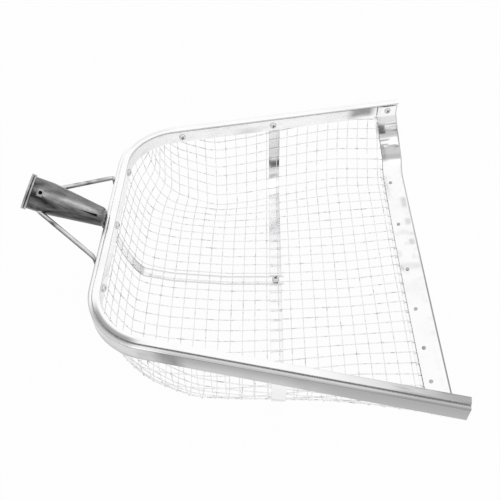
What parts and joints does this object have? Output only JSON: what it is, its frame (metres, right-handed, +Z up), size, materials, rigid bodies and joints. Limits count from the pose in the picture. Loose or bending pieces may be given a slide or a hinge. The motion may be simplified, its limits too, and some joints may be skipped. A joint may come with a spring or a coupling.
{
  "type": "leaf skimmer net",
  "caption": "Leaf skimmer net: splayed aluminium frame with a welded wire mesh basket, strap braces, a flat scraping lip and a tilted steel socket for a pole.",
  "frame": {"origin": "centre of the pole socket's mouth, on the socket's axis", "axes": "+X runs in the middle plane from the pole side to the basket's open mouth, +Y to the left seen from the pole, +Z up, square to the top of the frame, so the basket hangs below it"},
  "size_m": [0.4098, 0.4166, 0.1627],
  "materials": {
    "frame_aluminium": "satin anodised extrusion",
    "strip_aluminium": "bright rolled strip",
    "mesh_wire": "bright welded wire",
    "strap_steel": "bright rolled strip",
    "lip_steel": "bright rolled strip",
    "screw_steel": "bright plated",
    "rivet_steel": "dull",
    "socket_steel": "dark rolled sheet",
    "weld_metal": "rippled weld",
    "brace_steel": "bright drawn rod"
  },
  "bodies": {
    "root": {"frame_hoop": "frame_aluminium", "clamp_strip": "strip_aluminium", "mesh_basket": "mesh_wire", "cross_strap": "strap_steel", "long_strap": "strap_steel", "strap_screw": "screw_steel", "strap_nut": "screw_steel", "left_arm_screws": "screw_steel", "right_arm_screws": "screw_steel", "back_screws": "screw_steel", "lip_strip": "lip_steel", "lip_backing_strip": "lip_steel", "lip_rivets": "rivet_steel", "pole_socket": "socket_steel", "socket_weld": "weld_metal", "left_brace": "brace_steel", "right_brace": "brace_steel", "left_brace_welds": "weld_metal", "right_brace_welds": "weld_metal"}
  },
  "joints": []
}
